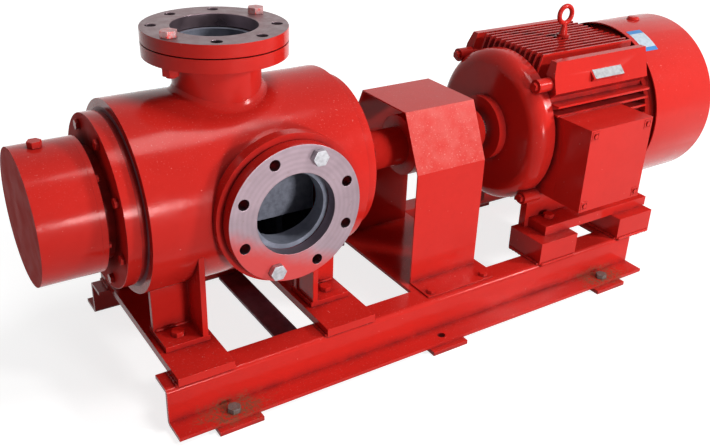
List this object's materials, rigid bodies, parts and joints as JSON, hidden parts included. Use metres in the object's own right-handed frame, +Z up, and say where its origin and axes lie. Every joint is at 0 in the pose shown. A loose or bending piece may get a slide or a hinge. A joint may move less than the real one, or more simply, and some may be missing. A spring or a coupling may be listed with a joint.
{
  "type": "twin screw pump set",
  "caption": "Horizontal twin screw pump with side suction and top discharge flanges, coupled under a bent sheet guard to a finned foot-mounted motor on a plate frame.",
  "frame": {"origin": "Middle of the base between its two free foundation holes, on the underside of the foot plates.", "axes": "+X runs along the shafts from the pump to the motor, the suction flange faces -Y, +Z is up."},
  "size_m": [1.669, 0.586, 0.7035],
  "materials": {
    "red_enamel": "glossy enamel",
    "machined_face": "turned",
    "plated_bolt": "zinc plated",
    "bare_bar": "dark primer",
    "rusty_bolt": "rusty",
    "cast_steel": "as cast",
    "ground_steel": "ground",
    "seal_face": "lapped",
    "core_sheets": "laminated",
    "copper_wire": "varnished wire",
    "fan_plastic": "moulded",
    "gasket_sheet": "fibre sheet",
    "grey_plastic": "moulded"
  },
  "bodies": {
    "pump_set": {"front_rail": "red_enamel", "rear_rail": "red_enamel", "foundation_plates": "red_enamel", "pump_pads": "red_enamel", "motor_supports": "red_enamel", "pump_casing": "red_enamel", "pump_feet": "red_enamel", "gear_end_cover": "red_enamel", "drive_end_cover": "red_enamel", "cover_bolts": "red_enamel", "gear_end_bearing_housing": "red_enamel", "gear_cover": "red_enamel", "filler_plug": "red_enamel", "drive_end_bearing_housing": "red_enamel", "drive_bearing_cap": "red_enamel", "housing_bolts": "red_enamel", "coupling_guard": "red_enamel", "motor_frame": "red_enamel", "drive_end_shield": "red_enamel", "fan_end_shield": "red_enamel", "fan_cover": "red_enamel", "terminal_box": "red_enamel", "terminal_lid": "red_enamel", "suction_companion_flange": "machined_face", "discharge_companion_flange": "machined_face", "flange_bolts": "plated_bolt", "pump_foot_bolts": "plated_bolt", "guard_bolts": "plated_bolt", "motor_foot_bolts": "plated_bolt", "lid_screws": "plated_bolt", "shield_bolts": "plated_bolt", "eyebolt": "plated_bolt", "cross_plates": "bare_bar", "foundation_bolts": "rusty_bolt", "screw_liner": "cast_steel", "pump_bearings": "ground_steel", "motor_bearings": "ground_steel", "seal_seats": "seal_face", "stator_core": "core_sheets", "stator_windings": "copper_wire", "flange_gaskets": "gasket_sheet", "cable_gland": "grey_plastic"},
    "drive_rotor": {"drive_shaft": "ground_steel", "drive_screws": "ground_steel", "drive_timing_gear": "ground_steel", "drive_seal_heads": "seal_face", "drive_bearing_inner_rings": "ground_steel", "pump_coupling_half": "bare_bar"},
    "driven_rotor": {"driven_shaft": "ground_steel", "driven_screws": "ground_steel", "driven_timing_gear": "ground_steel", "driven_seal_heads": "seal_face", "driven_bearing_inner_rings": "ground_steel"},
    "motor_rotor": {"motor_shaft": "ground_steel", "rotor_core": "core_sheets", "motor_bearing_inner_rings": "ground_steel", "cooling_fan": "fan_plastic", "motor_coupling_half": "bare_bar", "coupling_pins": "ground_steel"}
  },
  "joints": [
    {"name": "motor_spin", "type": "hinge", "parent": "pump_set", "child": "motor_rotor", "pos_m": [0.5, 0, 0.375], "axis": [1, 0, 0], "continuous": true},
    {"name": "drive_spin", "type": "hinge", "parent": "pump_set", "child": "drive_rotor", "pos_m": [-0.3745, 0, 0.375], "axis": [1, 0, 0], "continuous": true},
    {"name": "driven_spin", "type": "hinge", "parent": "pump_set", "child": "driven_rotor", "pos_m": [-0.3745, 0.084, 0.375], "axis": [1, 0, 0], "continuous": true}
  ],
  "couplings": [
    {"joint": "drive_spin", "follows": "motor_spin", "ratio": 1},
    {"joint": "driven_spin", "follows": "motor_spin", "ratio": -1}
  ]
}
